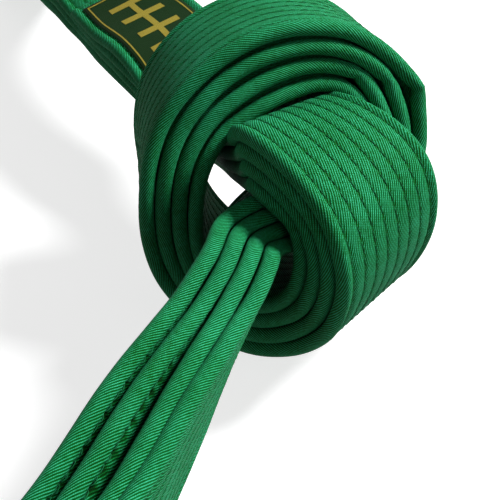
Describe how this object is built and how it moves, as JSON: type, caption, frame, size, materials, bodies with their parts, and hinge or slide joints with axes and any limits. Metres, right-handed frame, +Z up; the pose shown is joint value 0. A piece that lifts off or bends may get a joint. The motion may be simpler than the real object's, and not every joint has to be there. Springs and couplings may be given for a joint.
{
  "type": "martial arts belt",
  "caption": "padded cotton martial arts belt with quilted rows and a woven label, folded into a layered hank and tied in an overhand knot",
  "frame": {"origin": "centre of the bounding box at floor level, under the knot's height", "axes": "+Z up from the floor; +Y along the hank toward the labelled tail; +X to the right of the knot seen from the near tail"},
  "size_m": [0.2162, 0.5396, 0.0987],
  "materials": {
    "twill": "green cotton twill, matte",
    "padding": "undyed cotton padding",
    "thread": "dark green sewing thread",
    "label": "near-black woven label",
    "label_thread": "gold woven thread"
  },
  "bodies": {
    "root": {"cover_run_1": "twill", "cover_run_2": "twill", "cover_run_3": "twill", "cover_run_4": "twill", "cover_fold_outer": "twill", "cover_fold_inner": "twill", "cover_fold_centre": "twill", "hem_labelled_end": "twill", "hem_plain_end": "twill", "padding_run_1": "padding", "padding_run_2": "padding", "padding_run_3": "padding", "padding_run_4": "padding", "padding_fold_outer": "padding", "padding_fold_inner": "padding", "padding_fold_centre": "padding", "stitch_row_1": "thread", "stitch_row_2": "thread", "stitch_row_3": "thread", "stitch_row_4": "thread", "stitch_row_5": "thread", "stitch_row_6": "thread", "stitch_row_7": "thread", "stitch_row_8": "thread", "label_patch": "label", "label_border_stitch": "label_thread", "label_motif": "label_thread"}
  },
  "joints": []
}
